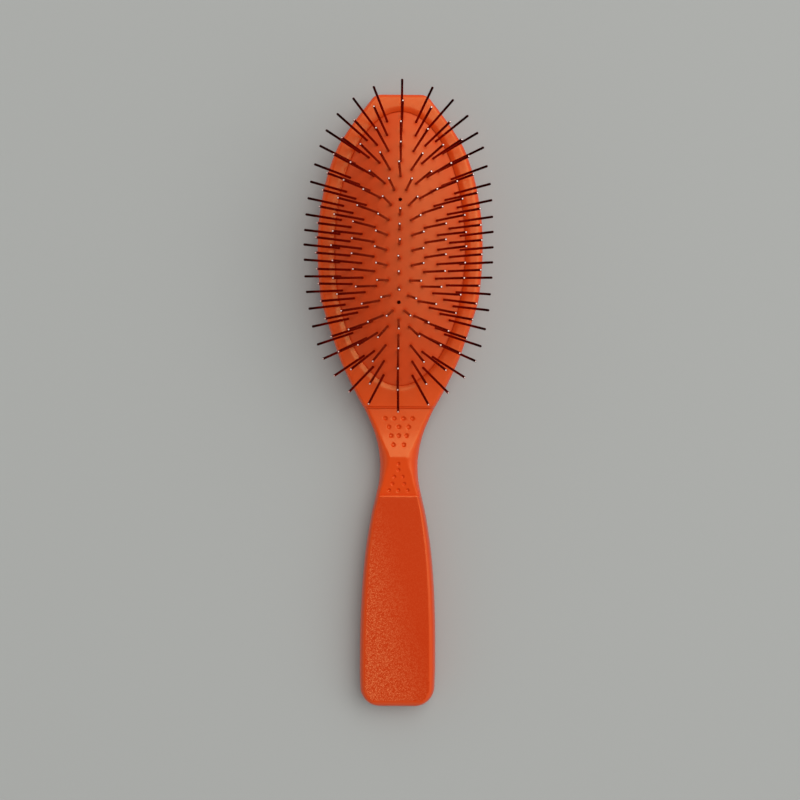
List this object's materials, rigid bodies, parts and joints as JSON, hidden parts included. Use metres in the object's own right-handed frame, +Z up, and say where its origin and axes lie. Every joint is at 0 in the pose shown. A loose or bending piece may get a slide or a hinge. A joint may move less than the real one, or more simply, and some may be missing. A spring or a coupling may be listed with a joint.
{
  "type": "pin hair brush",
  "caption": "Oval cushion hair brush with a flat moulded handle and head, a domed rubber pad and curved columns of steel pins that lean outwards.",
  "frame": {"origin": "on the surface the brush lies on, under the middle of its whole length and width", "axes": "+X across the head to the right seen from the pin side, +Y from the butt of the handle to the end of the head, +Z up out of the pin side"},
  "size_m": [0.067, 0.2272, 0.0402],
  "materials": {
    "moulded_plastic": "moulded ABS, fine sparked grain on the grip, smoother on neck and head",
    "orange_rubber": "matt moulded natural rubber",
    "dark_steel": "dark polished steel wire with rounded bright tips"
  },
  "bodies": {
    "handle": {"handle_body": "moulded_plastic"},
    "cushion": {"rubber_cushion": "orange_rubber"},
    "pin_column_01": {"pin_strip_01_1": "dark_steel", "pin_strip_01_2": "dark_steel", "pin_strip_01_3": "dark_steel", "pin_strip_01_4": "dark_steel"},
    "pin_column_02": {"pin_strip_02_1": "dark_steel", "pin_strip_02_2": "dark_steel", "pin_strip_02_3": "dark_steel", "pin_strip_02_4": "dark_steel"},
    "pin_column_03": {"pin_strip_03_1": "dark_steel", "pin_strip_03_2": "dark_steel", "pin_strip_03_3": "dark_steel", "pin_strip_03_4": "dark_steel"},
    "pin_column_04": {"pin_strip_04_1": "dark_steel", "pin_strip_04_2": "dark_steel", "pin_strip_04_3": "dark_steel", "pin_strip_04_4": "dark_steel"},
    "pin_column_05": {"pin_strip_05_1": "dark_steel", "pin_strip_05_2": "dark_steel", "pin_strip_05_3": "dark_steel", "pin_strip_05_4": "dark_steel"},
    "pin_column_06": {"pin_strip_06_1": "dark_steel", "pin_strip_06_2": "dark_steel", "pin_strip_06_3": "dark_steel", "pin_strip_06_4": "dark_steel"},
    "pin_column_07": {"pin_strip_07_1": "dark_steel", "pin_strip_07_2": "dark_steel", "pin_strip_07_3": "dark_steel", "pin_strip_07_4": "dark_steel"},
    "pin_column_08": {"pin_strip_08_1": "dark_steel", "pin_strip_08_2": "dark_steel", "pin_strip_08_3": "dark_steel", "pin_strip_08_4": "dark_steel"},
    "pin_column_09": {"pin_strip_09_1": "dark_steel", "pin_strip_09_2": "dark_steel", "pin_strip_09_3": "dark_steel", "pin_strip_09_4": "dark_steel"},
    "pin_column_10": {"pin_strip_10_1": "dark_steel", "pin_strip_10_2": "dark_steel", "pin_strip_10_3": "dark_steel", "pin_strip_10_4": "dark_steel"},
    "pin_column_11": {"pin_strip_11_1": "dark_steel", "pin_strip_11_2": "dark_steel", "pin_strip_11_3": "dark_steel", "pin_strip_11_4": "dark_steel"}
  },
  "joints": [
    {"name": "cushion_press", "type": "slide", "parent": "handle", "child": "cushion", "axis": [0, 0, -1], "range_m": [0, 0.0013], "stiffness_N_per_m": 2500, "deforming": ["rubber_cushion"]},
    {"name": "pin_lean_01", "type": "hinge", "parent": "cushion", "child": "pin_column_01", "pos_m": [-0.02042, 0.05482, 0.01016], "axis": [0, 1, 0], "range_deg": [-2.1, 2.1], "stiffness_Nm_per_rad": 0.05, "deforming": ["rubber_cushion"]},
    {"name": "pin_lean_02", "type": "hinge", "parent": "cushion", "child": "pin_column_02", "pos_m": [-0.01638, 0.05482, 0.01205], "axis": [0, 1, 0], "range_deg": [-4.2, 4.2], "stiffness_Nm_per_rad": 0.05, "deforming": ["rubber_cushion"]},
    {"name": "pin_lean_03", "type": "hinge", "parent": "cushion", "child": "pin_column_03", "pos_m": [-0.01236, 0.05482, 0.01353], "axis": [0, 1, 0], "range_deg": [-5.95, 5.95], "stiffness_Nm_per_rad": 0.05, "deforming": ["rubber_cushion"]},
    {"name": "pin_lean_04", "type": "hinge", "parent": "cushion", "child": "pin_column_04", "pos_m": [-0.00823, 0.05482, 0.01459], "axis": [0, 1, 0], "range_deg": [-7, 7], "stiffness_Nm_per_rad": 0.05, "deforming": ["rubber_cushion"]},
    {"name": "pin_lean_05", "type": "hinge", "parent": "cushion", "child": "pin_column_05", "pos_m": [-0.00422, 0.05482, 0.0151], "axis": [0, 1, 0], "range_deg": [-7, 7], "stiffness_Nm_per_rad": 0.05, "deforming": ["rubber_cushion"]},
    {"name": "pin_lean_06", "type": "hinge", "parent": "cushion", "child": "pin_column_06", "pos_m": [0, 0.05482, 0.01501], "axis": [0, 1, 0], "range_deg": [-7, 7], "stiffness_Nm_per_rad": 0.05, "deforming": ["rubber_cushion"]},
    {"name": "pin_lean_07", "type": "hinge", "parent": "cushion", "child": "pin_column_07", "pos_m": [0.00422, 0.05482, 0.0151], "axis": [0, 1, 0], "range_deg": [-7, 7], "stiffness_Nm_per_rad": 0.05, "deforming": ["rubber_cushion"]},
    {"name": "pin_lean_08", "type": "hinge", "parent": "cushion", "child": "pin_column_08", "pos_m": [0.00823, 0.05482, 0.01459], "axis": [0, 1, 0], "range_deg": [-7, 7], "stiffness_Nm_per_rad": 0.05, "deforming": ["rubber_cushion"]},
    {"name": "pin_lean_09", "type": "hinge", "parent": "cushion", "child": "pin_column_09", "pos_m": [0.01236, 0.05482, 0.01353], "axis": [0, 1, 0], "range_deg": [-5.95, 5.95], "stiffness_Nm_per_rad": 0.05, "deforming": ["rubber_cushion"]},
    {"name": "pin_lean_10", "type": "hinge", "parent": "cushion", "child": "pin_column_10", "pos_m": [0.01638, 0.05482, 0.01205], "axis": [0, 1, 0], "range_deg": [-4.2, 4.2], "stiffness_Nm_per_rad": 0.05, "deforming": ["rubber_cushion"]},
    {"name": "pin_lean_11", "type": "hinge", "parent": "cushion", "child": "pin_column_11", "pos_m": [0.02042, 0.05482, 0.01016], "axis": [0, 1, 0], "range_deg": [-2.1, 2.1], "stiffness_Nm_per_rad": 0.05, "deforming": ["rubber_cushion"]}
  ],
  "couplings": [
    {"joint": "pin_lean_01", "follows": "pin_lean_06", "ratio": 0.3},
    {"joint": "pin_lean_02", "follows": "pin_lean_06", "ratio": 0.6},
    {"joint": "pin_lean_03", "follows": "pin_lean_06", "ratio": 0.85},
    {"joint": "pin_lean_04", "follows": "pin_lean_06", "ratio": 1},
    {"joint": "pin_lean_05", "follows": "pin_lean_06", "ratio": 1},
    {"joint": "pin_lean_07", "follows": "pin_lean_06", "ratio": 1},
    {"joint": "pin_lean_08", "follows": "pin_lean_06", "ratio": 1},
    {"joint": "pin_lean_09", "follows": "pin_lean_06", "ratio": 0.85},
    {"joint": "pin_lean_10", "follows": "pin_lean_06", "ratio": 0.6},
    {"joint": "pin_lean_11", "follows": "pin_lean_06", "ratio": 0.3}
  ]
}
